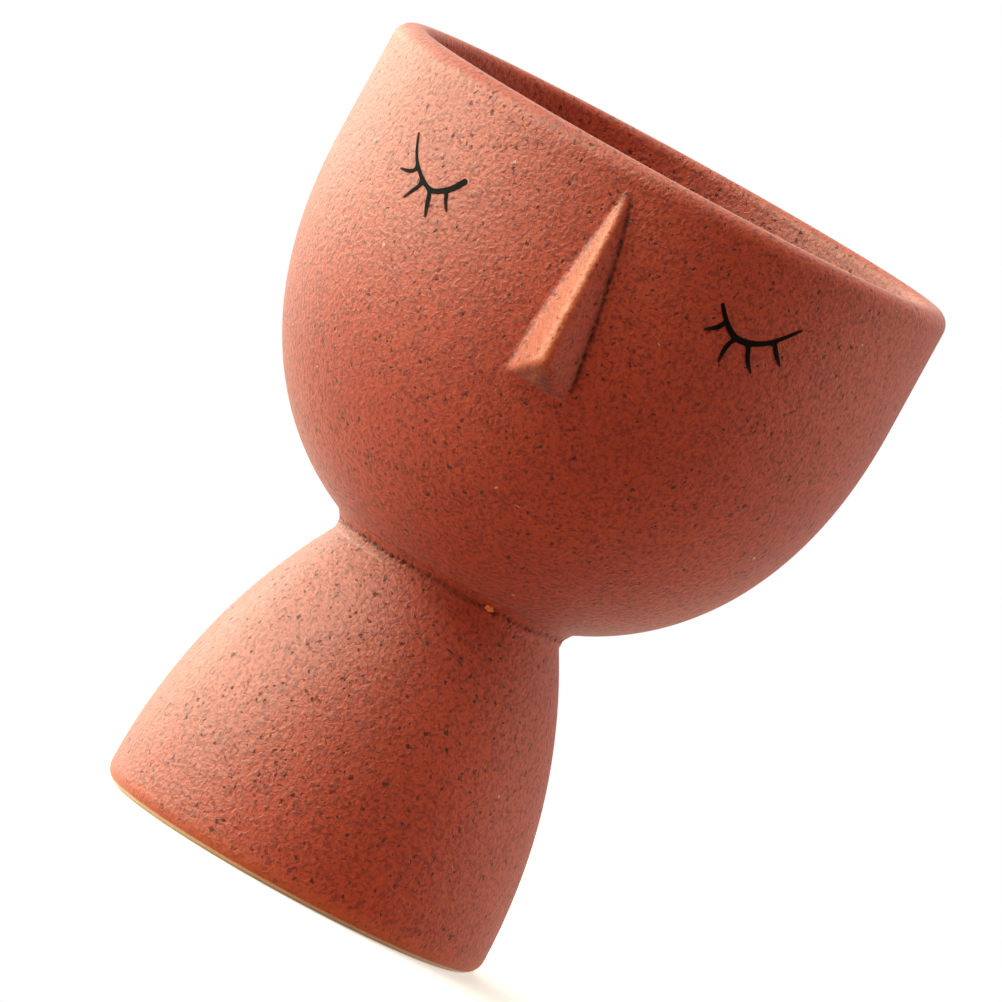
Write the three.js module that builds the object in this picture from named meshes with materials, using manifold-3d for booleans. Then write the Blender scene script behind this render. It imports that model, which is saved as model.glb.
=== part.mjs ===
// A footed ceramic face planter: a deep stoneware bowl luted with slip to a hollow bell-shaped
// pedestal, with a wedge nose pressed on to its wall, two closed eyes brushed on in black,
// and a soft stopper in the drain hole of its floor.
// Millimetres, +Z up, the face looks towards -Y, the foot stands on z = 0.
import * as THREE from "three";
import { ConvexGeometry } from "three/addons/geometries/ConvexGeometry.js";
import { mergeVertices } from "three/addons/utils/BufferGeometryUtils.js";
import Module from "manifold-3d";

// Bowl
const BOWL_RADIUS = 57.9; // outside, at the upright upper wall
const BOWL_HEIGHT = 86.6; // flat underside to the top of the lip
const BELLY_HEIGHT = 63.4; // flat underside to where the belly turns upright
const BELLY_ROUNDNESS = 2.23; // exponent of the belly curve, 2 is an ellipse and more is squarer
const BOWL_BASE_RADIUS = 21.6; // flat trimmed on the underside
const BOWL_WALL = 6.2;
const BOWL_FLOOR = 7; // thickness of the floor
const LIP_OUTER_ROUND = 3.4;
const LIP_INNER_ROUND = 1.8;
const DRAIN_RADIUS = 7;

// Pedestal
const PEDESTAL_HEIGHT = 61.4;
const PEDESTAL_TOP_RADIUS = 23.4;
const PEDESTAL_WALL = 6.6;
const FOOT_RADIUS = 39.25;
const FOOT_OUTER_ROUND = 3.4;
const FOOT_INNER_ROUND = 0.8;

// Slip that lutes the bowl to the pedestal
const SLIP_THICKNESS = 2; // between the two flat faces
const SLIP_CLIMB = 1.1; // how far the bead climbs the belly
const SLIP_EDGE = 0.25; // thickness of the bead where it ends on the belly
const SLIP_WAIST = 0.7; // how far the bead is wiped in between the two
const SLIP_SETBACK = 1; // from the pedestal's inner wall to the inside of the bead

// Nose
const NOSE_TOP_DROP = 5.2; // lip to the top of the nose
const NOSE_LENGTH = 39;
const NOSE_WIDTH = 13.8; // across its foot
const NOSE_SWELL = 0.62; // its width grows with this power of the way down, under 1 is convex
const NOSE_REACH = 7.4; // how far the tip stands off the wall
const NOSE_BOW = 0.85; // its ridge stands out with this power of the way down
const NOSE_TIP_RISE = 5.4; // the tip above the line where the underside meets the wall
const NOSE_TOP_SHIFT = 0.4; // its top sits this far to the right of the middle of the face
const NOSE_LEAN = 1.6; // and its foot this far to the right of its top
const NOSE_RIDGE_ROUND = 1.4;
const NOSE_EDGE_ROUND = 1;
const NOSE_BACK = 4; // how far the clay runs on behind the wall before it is trimmed to it

// Painted eyes, drawn as seen from the front, around the lowest point of each lid line.
// A stroke's points run along its middle, with its width at the start, middle and end.
const PAINT_THICKNESS = 0.35;
const LEFT_EYE = {
  azimuth: -34.7,
  drop: 23.1,
  lid: { points: [[-9.5, 7.8], [-6, 3.1], [0, 0], [4.2, 1.75], [6.8, 4.9]], widths: [0.35, 0.75, 1] },
  lashes: [
    { points: [[-4.7, 2], [-6.6, 0.85], [-9.2, 0.45]], widths: [0.6, 0.6, 0.35] },
    { points: [[-1.9, 0.4], [-3.2, -1.6], [-4.7, -3.85]], widths: [0.65, 0.6, 0.35] },
    { points: [[0.5, 0], [1.3, -2.4], [2.4, -4.9]], widths: [0.75, 0.75, 0.4] },
    { points: [[3.8, 1.5], [4.7, -0.2], [6.1, -2]], widths: [0.65, 0.6, 0.35] },
  ],
};
const RIGHT_EYE = {
  azimuth: 31.9,
  drop: 19.7,
  lid: { points: [[-6.8, 4.6], [-3.7, 1.4], [-0.3, 0], [5, 1.75], [10.6, 6.9]], widths: [0.6, 1, 0.45] },
  lashes: [
    { points: [[-4.4, 1.9], [-5.35, 0.3], [-7.55, -1.25]], widths: [0.7, 0.75, 0.4] },
    { points: [[-1.4, 0.1], [-2.1, -2.8], [-1.95, -5.4]], widths: [0.8, 0.7, 0.35] },
    { points: [[1.9, 0.3], [2.9, -2.3], [5.1, -4.55]], widths: [0.7, 0.75, 0.35] },
    { points: [[6.4, 2.8], [7.6, 1], [10, -1.05]], widths: [0.7, 0.75, 0.35] },
  ],
};

// Stopper of the drain hole
const PLUG_CLEARANCE = 0.3; // all round, in the hole
const PLUG_STEM_TAPER = 0.8; // the stem's radius shrinks by this towards its end
const PLUG_STEM_BELOW = 2.5; // how far the stem comes through the floor
const PLUG_FLANGE_OVERLAP = 5; // flange beyond the edge of the hole
const PLUG_FLANGE_THICKNESS = 2.4;
const PLUG_NECK_RADIUS = 3;
const PLUG_NECK_HEIGHT = 3;
const PLUG_KNOB_RADIUS = 4.6;

// Fits and facets
const SEAT_GAP = 0.3; // between the curved bowl and what is laid on it
const POT_SEGMENTS = 60;
const PLUG_SEGMENTS = 32;
const BELLY_STEPS = 14;
const ARC_STEPS = 4;
const PEDESTAL_STEPS = 9;
const NOSE_STEPS = 6;
const STROKE_STEPS = 10;
const BALL_SEGMENTS = 12;

// The belly is a quarter superellipse from the upright wall down to the trimmed flat. It runs on to
// a virtual depth below the flat, which follows from the flat's radius.
const trimShare = (1 - (BOWL_BASE_RADIUS / BOWL_RADIUS) ** BELLY_ROUNDNESS) ** (1 / BELLY_ROUNDNESS);
const bellyDepth = BELLY_HEIGHT / trimShare;
const bellyPower = 2 / BELLY_ROUNDNESS;
const trimAngle = Math.asin(trimShare ** (1 / bellyPower));
const lipOuterRound = Math.min(LIP_OUTER_ROUND, BOWL_WALL * 0.6);
const lipInnerRound = Math.min(LIP_INNER_ROUND, BOWL_WALL * 0.3);

// The pedestal's side is one arc, upright where it meets the rounding of the foot.
const pedestalFlare = FOOT_RADIUS - PEDESTAL_TOP_RADIUS;
const pedestalRise = PEDESTAL_HEIGHT - FOOT_OUTER_ROUND;
const pedestalArcRadius = (pedestalFlare ** 2 + pedestalRise ** 2) / (2 * pedestalFlare);
const pedestalArcCentre = new THREE.Vector2(FOOT_RADIUS - pedestalArcRadius, FOOT_OUTER_ROUND);

const bowlBaseHeight = PEDESTAL_HEIGHT + SLIP_THICKNESS;
const noseTopHeight = BOWL_HEIGHT - NOSE_TOP_DROP;
const noseFootHeight = noseTopHeight - NOSE_LENGTH;
const noseTipHeight = noseFootHeight + NOSE_TIP_RISE;
const noseTipDistance = bowlRadiusAt(noseTipHeight) + NOSE_REACH;

const stoneware = { color: 0xc9694a, roughness: 0.85, metalness: 0 };
const bowlClay = new THREE.MeshStandardMaterial(stoneware);
const pedestalClay = new THREE.MeshStandardMaterial(stoneware);
const noseClay = new THREE.MeshStandardMaterial(stoneware);
const slipClay = new THREE.MeshStandardMaterial({ color: 0xb5573a, roughness: 0.9, metalness: 0 });
const leftEyeBlack = new THREE.MeshStandardMaterial({ color: 0x15110f, roughness: 0.55, metalness: 0 });
const rightEyeBlack = leftEyeBlack.clone();
const plugSilicone = new THREE.MeshStandardMaterial({ color: 0x3a3836, roughness: 0.6, metalness: 0 });

const wasm = await Module();
wasm.setup();

// A closed geometry as a solid for joining and cutting.
function solidOf(geometry) {
  const bare = geometry.clone();
  bare.deleteAttribute("normal");
  bare.deleteAttribute("uv");
  const merged = mergeVertices(bare, 1e-4);
  const vertProperties = merged.attributes.position.array;
  const triVerts = new Uint32Array(merged.index.array);
  return new wasm.Manifold(new wasm.Mesh({ numProp: 3, vertProperties, triVerts }));
}

function geometryOf(solid) {
  const mesh = solid.getMesh();
  const geometry = new THREE.BufferGeometry();
  geometry.setAttribute("position", new THREE.BufferAttribute(new Float32Array(mesh.vertProperties), 3));
  geometry.setIndex(new THREE.BufferAttribute(new Uint32Array(mesh.triVerts), 1));
  geometry.computeVertexNormals();
  return geometry;
}

// Turns a profile of radius and height points about the z axis.
function turned(profile, segments = POT_SEGMENTS) {
  return new THREE.LatheGeometry(profile, segments).rotateX(Math.PI / 2);
}

function arcPoints(centreRadius, centreHeight, radius, startAngle, endAngle, steps) {
  const arc = new THREE.EllipseCurve(
    centreRadius, centreHeight, radius, radius, startAngle, endAngle, endAngle < startAngle,
  );
  return arc.getPoints(steps);
}

// The outside radius of the bowl at a height above its flat underside.
function bowlRadiusAt(height) {
  const share = THREE.MathUtils.clamp((BELLY_HEIGHT - height) / bellyDepth, 0, 1);
  return BOWL_RADIUS * (1 - share ** BELLY_ROUNDNESS) ** (1 / BELLY_ROUNDNESS);
}

// A point of the belly, moved out along the surface normal. Angle 0 is the upright wall.
function bellyPoint(angle, offset) {
  const across = Math.cos(angle);
  const down = Math.sin(angle);
  const normal = new THREE.Vector2(
    across ** (2 - bellyPower) / BOWL_RADIUS,
    -(down ** (2 - bellyPower)) / bellyDepth,
  ).normalize();
  return new THREE.Vector2(
    BOWL_RADIUS * across ** bellyPower,
    BELLY_HEIGHT - bellyDepth * down ** bellyPower,
  ).addScaledVector(normal, offset);
}

// The belly from one angle to another, offset along its normals.
function bellyPoints(fromAngle, toAngle, offset) {
  const points = [];
  for (let i = 0; i <= BELLY_STEPS; i++) {
    points.push(bellyPoint(THREE.MathUtils.lerp(fromAngle, toAngle, i / BELLY_STEPS), offset));
  }
  return points;
}

// The inside of the belly, from the upright wall down to the flat floor.
function bellyInside() {
  const points = bellyPoints(0, Math.PI / 2, -BOWL_WALL);
  const firstBelow = points.findIndex((point) => point.y < BOWL_FLOOR);
  const above = points[firstBelow - 1];
  const below = points[firstBelow];
  const share = (above.y - BOWL_FLOOR) / (above.y - below.y);
  return [...points.slice(0, firstBelow), above.clone().lerp(below, share)];
}

function headBowl() {
  const innerRadius = BOWL_RADIUS - BOWL_WALL;
  const lipOutside = arcPoints(
    BOWL_RADIUS - lipOuterRound, BOWL_HEIGHT - lipOuterRound, lipOuterRound, 0, Math.PI / 2, ARC_STEPS,
  );
  const lipInside = arcPoints(
    innerRadius + lipInnerRound, BOWL_HEIGHT - lipInnerRound, lipInnerRound,
    Math.PI / 2, Math.PI, ARC_STEPS,
  );
  const start = new THREE.Vector2(DRAIN_RADIUS, 0);
  const profile = [
    start,
    ...bellyPoints(trimAngle, 0, 0),
    ...lipOutside,
    ...lipInside,
    ...bellyInside(),
    new THREE.Vector2(DRAIN_RADIUS, BOWL_FLOOR),
    start.clone(),
  ];
  return turned(profile);
}

// The space that the bowl takes up, with a gap around it for what is laid on its wall. It runs on
// above the lip, so that it trims all of the nose that lies behind the wall.
function bowlEnvelope() {
  const top = BOWL_HEIGHT + NOSE_LENGTH;
  const profile = [
    new THREE.Vector2(0, 0),
    ...bellyPoints(trimAngle, 0, SEAT_GAP),
    new THREE.Vector2(BOWL_RADIUS + SEAT_GAP, top),
    new THREE.Vector2(0, top),
  ];
  return turned(profile);
}

// The pedestal's side, from the foot up, moved in along its normals.
function pedestalSide(inset) {
  const radius = pedestalArcRadius - inset;
  const endAngle = Math.asin(pedestalRise / radius);
  return arcPoints(pedestalArcCentre.x, pedestalArcCentre.y, radius, 0, endAngle, PEDESTAL_STEPS);
}

function pedestalBase() {
  const footOutside = arcPoints(
    FOOT_RADIUS - FOOT_OUTER_ROUND, FOOT_OUTER_ROUND, FOOT_OUTER_ROUND, -Math.PI / 2, 0, ARC_STEPS,
  );
  const footInside = arcPoints(
    FOOT_RADIUS - PEDESTAL_WALL + FOOT_INNER_ROUND, FOOT_INNER_ROUND, FOOT_INNER_ROUND,
    Math.PI, Math.PI * 1.5, ARC_STEPS,
  );
  const profile = [
    ...footOutside,
    ...pedestalSide(0).slice(1),
    ...pedestalSide(PEDESTAL_WALL).reverse(),
    ...footInside,
    footOutside[0].clone(),
  ];
  return turned(profile);
}

// The bead of slip sits on the pedestal's flat top, under the bowl's flat, and climbs the belly a little.
function neckSlipRing() {
  const innerRadius = pedestalSide(PEDESTAL_WALL).at(-1).x + SLIP_SETBACK;
  const climbShare = (BELLY_HEIGHT - SLIP_CLIMB) / bellyDepth;
  const climbAngle = Math.asin(climbShare ** (1 / bellyPower));
  const onBowl = (point) => point.add(new THREE.Vector2(0, SLIP_THICKNESS));
  const bead = new THREE.QuadraticBezierCurve(
    new THREE.Vector2(PEDESTAL_TOP_RADIUS, 0),
    new THREE.Vector2(PEDESTAL_TOP_RADIUS - SLIP_WAIST, SLIP_THICKNESS),
    onBowl(bellyPoint(climbAngle, SEAT_GAP + SLIP_EDGE)),
  );
  const start = new THREE.Vector2(innerRadius, 0);
  const profile = [
    start,
    ...bead.getPoints(ARC_STEPS),
    onBowl(bellyPoint(climbAngle, SEAT_GAP)),
    onBowl(bellyPoint((climbAngle + trimAngle) / 2, SEAT_GAP)),
    new THREE.Vector2(BOWL_BASE_RADIUS, SLIP_THICKNESS),
    new THREE.Vector2(innerRadius, SLIP_THICKNESS),
    start.clone(),
  ];
  return turned(profile);
}

// The nose is the hull of rows of small balls: one row along its ridge and two along its edges. The
// edges run on behind the wall, and the bowl's own form then trims the back.
function nose() {
  const points = [];
  for (let i = 0; i <= NOSE_STEPS; i++) {
    const share = i / NOSE_STEPS;
    const middle = NOSE_TOP_SHIFT + NOSE_LEAN * share;
    const ridgeHeight = THREE.MathUtils.lerp(noseTopHeight, noseTipHeight, share);
    const ridgeDistance = bowlRadiusAt(ridgeHeight) + NOSE_REACH * share ** NOSE_BOW - NOSE_RIDGE_ROUND;
    points.push(...ballPoints(new THREE.Vector3(middle, -ridgeDistance, ridgeHeight), NOSE_RIDGE_ROUND));
    const edgeHeight = THREE.MathUtils.lerp(noseTopHeight, noseFootHeight + NOSE_EDGE_ROUND, share);
    const halfWidth = Math.max(0, (NOSE_WIDTH / 2) * share ** NOSE_SWELL - NOSE_EDGE_ROUND);
    for (const x of [middle - halfWidth, middle + halfWidth]) {
      const wall = Math.sqrt(bowlRadiusAt(edgeHeight) ** 2 - x ** 2);
      points.push(...ballPoints(new THREE.Vector3(x, -wall, edgeHeight), NOSE_EDGE_ROUND));
      points.push(new THREE.Vector3(x, NOSE_BACK - wall, edgeHeight));
    }
  }
  return geometryOf(solidOf(new ConvexGeometry(points)).subtract(solidOf(bowlEnvelope())));
}

function ballPoints(centre, radius) {
  const ball = new THREE.SphereGeometry(radius, BALL_SEGMENTS, BALL_SEGMENTS / 2);
  const position = mergeVertices(ball.deleteAttribute("normal").deleteAttribute("uv")).attributes.position;
  return Array.from({ length: position.count }, (_, i) =>
    new THREE.Vector3().fromBufferAttribute(position, i).add(centre),
  );
}

// One brush stroke as a flat film with round ends: its middle line widened to each side, with its
// width swelling from start to middle to end.
function brushStroke({ points, widths }) {
  const middle = new THREE.SplineCurve(points.map(([x, y]) => new THREE.Vector2(x, y)));
  const swelling = new THREE.SplineCurve(widths.map((width, i) => new THREE.Vector2(i, width)));
  const edgePoint = (share, turn) => {
    const direction = middle.getTangent(share).angle() + turn;
    const side = new THREE.Vector2(Math.cos(direction), Math.sin(direction));
    return middle.getPoint(share).addScaledVector(side, swelling.getPoint(share).y / 2);
  };
  const shares = Array.from({ length: STROKE_STEPS + 1 }, (_, i) => i / STROKE_STEPS);
  const endTurns = Array.from({ length: ARC_STEPS - 1 }, (_, i) => Math.PI * ((i + 1) / ARC_STEPS - 0.5));
  const outline = [
    ...shares.map((share) => edgePoint(share, -Math.PI / 2)),
    ...endTurns.map((turn) => edgePoint(1, turn)),
    ...shares.reverse().map((share) => edgePoint(share, Math.PI / 2)),
    ...endTurns.map((turn) => edgePoint(0, turn + Math.PI)),
  ];
  return new THREE.ExtrudeGeometry(new THREE.Shape(outline), {
    depth: PAINT_THICKNESS,
    bevelEnabled: false,
  });
}

// An eye is its lid line and lashes joined into one film, then laid round the bowl.
function eyeLine(eye) {
  const film = eye.lashes.reduce(
    (joined, lash) => joined.add(solidOf(brushStroke(lash))),
    solidOf(brushStroke(eye.lid)),
  );
  const geometry = geometryOf(film);
  const position = geometry.attributes.position;
  for (let i = 0; i < position.count; i++) {
    const height = BOWL_HEIGHT - eye.drop + position.getY(i);
    const distance = bowlRadiusAt(height) + SEAT_GAP + position.getZ(i);
    const angle = THREE.MathUtils.degToRad(eye.azimuth) + position.getX(i) / BOWL_RADIUS;
    position.setXYZ(i, distance * Math.sin(angle), -distance * Math.cos(angle), height);
  }
  geometry.computeVertexNormals();
  return geometry;
}

// The stopper's stem tapers through the floor, its flange rests on the floor around the hole, and a
// round knob on a short neck is what fingers pull.
function drainPlug() {
  const stemRadius = DRAIN_RADIUS - PLUG_CLEARANCE;
  const flangeRadius = DRAIN_RADIUS + PLUG_FLANGE_OVERLAP;
  const neckFoot = BOWL_FLOOR + PLUG_FLANGE_THICKNESS;
  const neckTop = neckFoot + PLUG_NECK_HEIGHT;
  const knobStart = Math.asin(PLUG_NECK_RADIUS / PLUG_KNOB_RADIUS);
  const knobCentre = neckTop + PLUG_KNOB_RADIUS * Math.cos(knobStart);
  const knob = arcPoints(
    0, knobCentre, PLUG_KNOB_RADIUS, knobStart - Math.PI / 2, Math.PI / 2, ARC_STEPS * 2,
  );
  const flangeEdge = arcPoints(
    flangeRadius - PLUG_FLANGE_THICKNESS / 2, neckFoot - PLUG_FLANGE_THICKNESS / 2,
    PLUG_FLANGE_THICKNESS / 2, -Math.PI / 2, Math.PI / 2, ARC_STEPS,
  );
  const profile = [
    new THREE.Vector2(0, -PLUG_STEM_BELOW),
    new THREE.Vector2(stemRadius - PLUG_STEM_TAPER, -PLUG_STEM_BELOW),
    new THREE.Vector2(stemRadius, BOWL_FLOOR),
    ...flangeEdge,
    new THREE.Vector2(PLUG_NECK_RADIUS, neckFoot),
    ...knob.slice(0, -1),
    new THREE.Vector2(0, knobCentre + PLUG_KNOB_RADIUS),
  ];
  return turned(profile, PLUG_SEGMENTS);
}

function piece(name, geometry, material) {
  const mesh = new THREE.Mesh(geometry, material);
  mesh.name = name;
  return mesh;
}

// Everything on the bowl is placed by the bowl's flat underside.
const bowlGroup = new THREE.Group();
bowlGroup.position.z = bowlBaseHeight;
bowlGroup.add(
  piece("head_bowl", headBowl(), bowlClay),
  piece("nose", nose(), noseClay),
  piece("left_eye_line", eyeLine(LEFT_EYE), leftEyeBlack),
  piece("right_eye_line", eyeLine(RIGHT_EYE), rightEyeBlack),
  piece("drain_plug", drainPlug(), plugSilicone),
);

const neckGroup = new THREE.Group();
neckGroup.position.z = PEDESTAL_HEIGHT;
neckGroup.add(piece("neck_slip_ring", neckSlipRing(), slipClay));

// The origin is on the table, in the middle of the whole outline, of which the nose is the front.
const planter = new THREE.Group();
planter.name = "face_planter";
planter.position.y = (noseTipDistance - BOWL_RADIUS) / 2;
planter.add(piece("pedestal_base", pedestalBase(), pedestalClay), neckGroup, bowlGroup);

export default new THREE.Group().add(planter);
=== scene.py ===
"""Footed stoneware face planter: turned bowl and pedestal, luted neck, pressed-on nose, brushed eyes, stopper."""
import math

import bmesh
import bpy
from bpy.props import FloatProperty, FloatVectorProperty, IntProperty, PointerProperty
from bpy.types import Operator, Panel, PropertyGroup
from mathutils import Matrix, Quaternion, Vector, noise


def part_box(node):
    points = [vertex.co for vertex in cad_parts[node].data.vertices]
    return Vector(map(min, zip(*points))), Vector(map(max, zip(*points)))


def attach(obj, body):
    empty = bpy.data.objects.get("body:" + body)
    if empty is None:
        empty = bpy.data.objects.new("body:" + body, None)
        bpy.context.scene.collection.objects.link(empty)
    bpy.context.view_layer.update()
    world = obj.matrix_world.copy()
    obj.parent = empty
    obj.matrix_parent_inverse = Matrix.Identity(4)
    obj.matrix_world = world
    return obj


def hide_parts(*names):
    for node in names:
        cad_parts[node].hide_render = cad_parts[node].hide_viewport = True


bl_info = {
    "name": "Stoneware Face Planter",
    "version": (1, 0, 0),
    "blender": (4, 5, 0),
    "location": "3D View > Sidebar > Planter",
    "description": "Models a footed stoneware face planter, its drain stopper and a studio",
    "category": "Add Mesh",
}

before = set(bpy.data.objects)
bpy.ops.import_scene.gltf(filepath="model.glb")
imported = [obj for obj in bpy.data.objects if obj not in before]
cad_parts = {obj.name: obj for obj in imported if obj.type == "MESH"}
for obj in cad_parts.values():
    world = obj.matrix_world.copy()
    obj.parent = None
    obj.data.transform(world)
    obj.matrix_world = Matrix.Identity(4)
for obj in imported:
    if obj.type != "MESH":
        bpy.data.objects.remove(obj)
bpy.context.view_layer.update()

MM = 0.001
bowl_low, bowl_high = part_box("head_bowl")
foot_low, foot_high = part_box("pedestal_base")
AXIS_Y = (bowl_low[1] + bowl_high[1]) / 2  # the pot's own axis, behind the origin because the nose is in front
BOWL_BASE = bowl_low[2]
SMOOTH_BELOW = math.radians(40)  # edges that turn less than this are shaded smooth


def linear(code):
    """The linear colour of an sRGB hex code."""
    shares = [int(code[i:i + 2], 16) / 255 for i in (0, 2, 4)]
    return tuple(s / 12.92 if s <= 0.04045 else ((s + 0.055) / 1.055) ** 2.4 for s in shares)


def length(label, description, millimetres):
    """A length that a user can change."""
    return FloatProperty(name=label, description=description, default=millimetres * MM, min=0.0,
                         precision=5, unit="LENGTH", subtype="DISTANCE")


def lamp_power(label, description, watts):
    """A lamp's power."""
    return FloatProperty(name=label, description=description, default=watts, min=0, unit="POWER")


def colour(label, description, code):
    """A colour that a user can change."""
    return FloatVectorProperty(name=label, description=description, default=linear(code), size=3,
                               min=0.0, max=1.0, subtype="COLOR")


class PlanterSizes(PropertyGroup):
    bowl_radius: length("Bowl radius", "Outside of the upright wall", (bowl_high[0] - bowl_low[0]) / 2 / MM)
    bowl_height: length("Bowl height", "Flat underside to the top of the lip", (bowl_high[2] - bowl_low[2]) / MM)
    belly_height: length("Belly height", "Flat underside to where the belly turns upright", 63.4)
    belly_roundness: FloatProperty(name="Belly roundness", description="2 is an ellipse and more is squarer",
                                   default=2.23, min=1.5, max=4.0, subtype="FACTOR")
    base_radius: length("Base radius", "Flat trimmed on the bowl's underside", 21.6)
    wall: length("Bowl wall", "Thickness of the bowl's wall", 6.2)
    floor: length("Bowl floor", "Thickness of the bowl's floor", 7)
    lip_outer_round: length("Lip outer rounding", "Radius of the outer half of the lip", 3.4)
    lip_inner_round: length("Lip inner rounding", "Radius of the inner half of the lip", 1.8)
    drain_radius: length("Drain radius", "Hole in the bowl's floor", 7)
    pedestal_height: length("Pedestal height", "Foot to the pedestal's flat top", (foot_high[2] - foot_low[2]) / MM)
    pedestal_top: length("Pedestal top radius", "Outside, under the neck", 23.4)
    pedestal_wall: length("Pedestal wall", "Thickness of the pedestal's wall", 6.6)
    foot_radius: length("Foot radius", "Outside, at the foot", (foot_high[0] - foot_low[0]) / 2 / MM)
    foot_round: length("Foot rounding", "Radius of the foot's outer edge", 3.4)
    nose_top: length("Nose top", "Lip to the top of the nose", 5.2)
    nose_length: length("Nose length", "Top to foot", 39.6)
    nose_width: length("Nose width", "Across its foot", 13.8)
    nose_reach: length("Nose reach", "How far the tip stands off the wall, before its ridge is rounded", 8.3)
    nose_tip_rise: length("Nose tip rise", "Tip above the line where the underside meets the wall", 5.2)
    nose_lean: length("Nose lean", "Foot to the right of the top", 1.6)
    paint: length("Brushed film", "Thickness of the fired black colour", 0.12)
    turns: IntProperty(name="Turning steps", description="Faces around the pot", default=160, min=32, max=400,
                       subtype="UNSIGNED")


class PlanterColours(PropertyGroup):
    clay: colour("Clay", "Fired body", "B33E20")
    clay_deep: colour("Deep clay", "Where the firing went redder", "AB391D")
    grain: colour("Grain", "Fine dark grain of the body", "7C2411")
    glint: colour("Glint", "Fine light grain of the body", "C75228")
    pepper: colour("Pepper", "Finest burnt grit", "422614")
    speck: colour("Iron speck", "Burnt-out iron grit", "2E180E")
    # Painted shade: a near-black brown laid in the nose's crease and on its underside, and along the neck's seam.
    painted_shade: colour("Grime", "Burnt wash left in the creases", "1E0A06")
    # Painted light: the highlight on the nose's lit flank and ridge, and the floor's light on the pedestal's lowest
    # millimetres.
    rubbed: colour("Rubbed clay", "Nose ridge and foot edge, rubbed clear of their skin", "DA7040")
    grog: colour("Pale grog", "Coarse pale grit", "EFC9A6")
    # Painted light: the pale line along the foot's lowest edge, where the floor throws its light up.
    foot: colour("Foot line", "Bare line wiped along the foot", "F2D0A0")
    # Darker than the body: painted shade on the neck's band under the belly.
    slip: colour("Slip", "Clay that lutes the neck", "A63A1C")
    crumb: colour("Crumb", "Dry crumb of clay left on the seam", "F0824A")
    brush: colour("Brush black", "Fired black of the eyes", "0A0706")
    brush_thin: colour("Thin brush black", "Where the brush is drier", "1A100D")
    brush_tip: colour("Brush tip", "Thin end of a stroke, where the clay shows through", "4E2A1C")
    silicone: colour("Silicone", "Stopper", "3A3836")
    table: colour("Floor", "Studio floor", "F2F0EE")
    table_dim: colour("Floor bounce", "Studio floor in the light that it throws back", "8C7270")
    table_lit: colour("Lit floor bounce", "The same near the foot and towards the lamps", "ECD4C6")


class PlanterStudio(PropertyGroup):
    azimuth: FloatProperty(name="Azimuth", description="Camera to the right of the face", default=math.radians(6),
                           unit="ROTATION", subtype="ANGLE")
    roll: FloatProperty(name="Roll", description="Turn of the camera about its own line of sight",
                        default=math.radians(28.69), unit="ROTATION", subtype="ANGLE")
    distance: length("Distance", "Camera to the pot's axis, level", 3014.4)
    height: length("Height", "Camera above the floor", 297.4)
    aim_height: length("Aim height", "Point looked at, above the floor", 80)
    aim_right: length("Aim right", "Point looked at, right of the axis", 1.06)
    lens: FloatProperty(name="Lens", description="Focal length of the camera", default=586.7, min=50, max=2000,
                        unit="CAMERA", subtype="DISTANCE_CAMERA")
    key: lamp_power("Key", "Large soft lamp on the left", 8.2)
    low: lamp_power("Low", "Low lamp on the left", 4.0)
    window: lamp_power("Window", "Low lamp at the back left", 6.2)
    back: lamp_power("Back", "Lamp far back on the left", 5.0)
    top: lamp_power("Top", "Lamp overhead, behind on the left", 10.5)
    front: lamp_power("Front", "High lamp at the front left", 8.4)
    rim: lamp_power("Rim", "Lamp on the right", 8.5)
    gloss: lamp_power("Gloss", "Beside the key, seen only by gloss", 40.0)
    gloss_low: lamp_power("Low gloss", "Beside the low lamp, seen only by gloss", 28.0)
    gloss_back: lamp_power("Back gloss", "Beside the window, seen only by gloss", 17.0)
    gloss_front: lamp_power("Front gloss", "Beside the front lamp, seen only by gloss", 38.0)
    ambient: FloatProperty(name="Ambient", description="Strength of the room's own light", default=0.36, min=0,
                           subtype="FACTOR")


# Drawing and turning


def start_point(name, place):
    """Adds a plane, merges it to one vertex at a place, and stays in edit mode to draw on from it."""
    bpy.ops.mesh.primitive_plane_add(size=MM, location=(0, 0, 0))
    piece = bpy.context.object
    piece.name = piece.data.name = name
    bpy.ops.object.mode_set(mode="EDIT")
    bpy.ops.mesh.select_all(action="SELECT")
    bpy.ops.mesh.merge(type="CENTER")
    bpy.ops.transform.translate(value=place)
    return piece


def close_drawing(reach):
    """Merges points that meet, turns all faces outwards and leaves edit mode."""
    bpy.ops.mesh.select_all(action="SELECT")
    bpy.ops.mesh.remove_doubles(threshold=reach)
    bpy.ops.mesh.normals_make_consistent(inside=False)
    bpy.ops.object.mode_set(mode="OBJECT")


def turned(name, profile, steps):
    """Draws a profile of radius and height points by extruding one vertex, and spins it round the pot."""
    radius, height = profile[0]
    piece = start_point(name, (radius, AXIS_Y, height))
    for (r0, z0), (r1, z1) in zip(profile, profile[1:]):
        bpy.ops.mesh.extrude_region_move(TRANSFORM_OT_translate={"value": (r1 - r0, 0, z1 - z0)})
    bpy.ops.mesh.select_all(action="SELECT")
    bpy.ops.mesh.spin(steps=steps, angle=math.tau, center=(0, AXIS_Y, 0), axis=(0, 0, 1))
    close_drawing(0.001 * MM)
    bpy.ops.object.shade_smooth_by_angle(angle=SMOOTH_BELOW)
    return piece


def beside(turn, away, height):
    """A place so far from the pot's axis, turned to the right of the face."""
    return Vector((math.sin(turn) * away, AXIS_Y - math.cos(turn) * away, height))


def arc(centre, radius, start, end, steps):
    """Radius and height points along an arc, with its angles in degrees."""
    angles = [math.radians(start + (end - start) * i / steps) for i in range(steps + 1)]
    return [(centre[0] + radius * math.cos(a), centre[1] + radius * math.sin(a)) for a in angles]


def clamp(share):
    """A share kept from 0 to 1."""
    return min(max(share, 0), 1)


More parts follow.
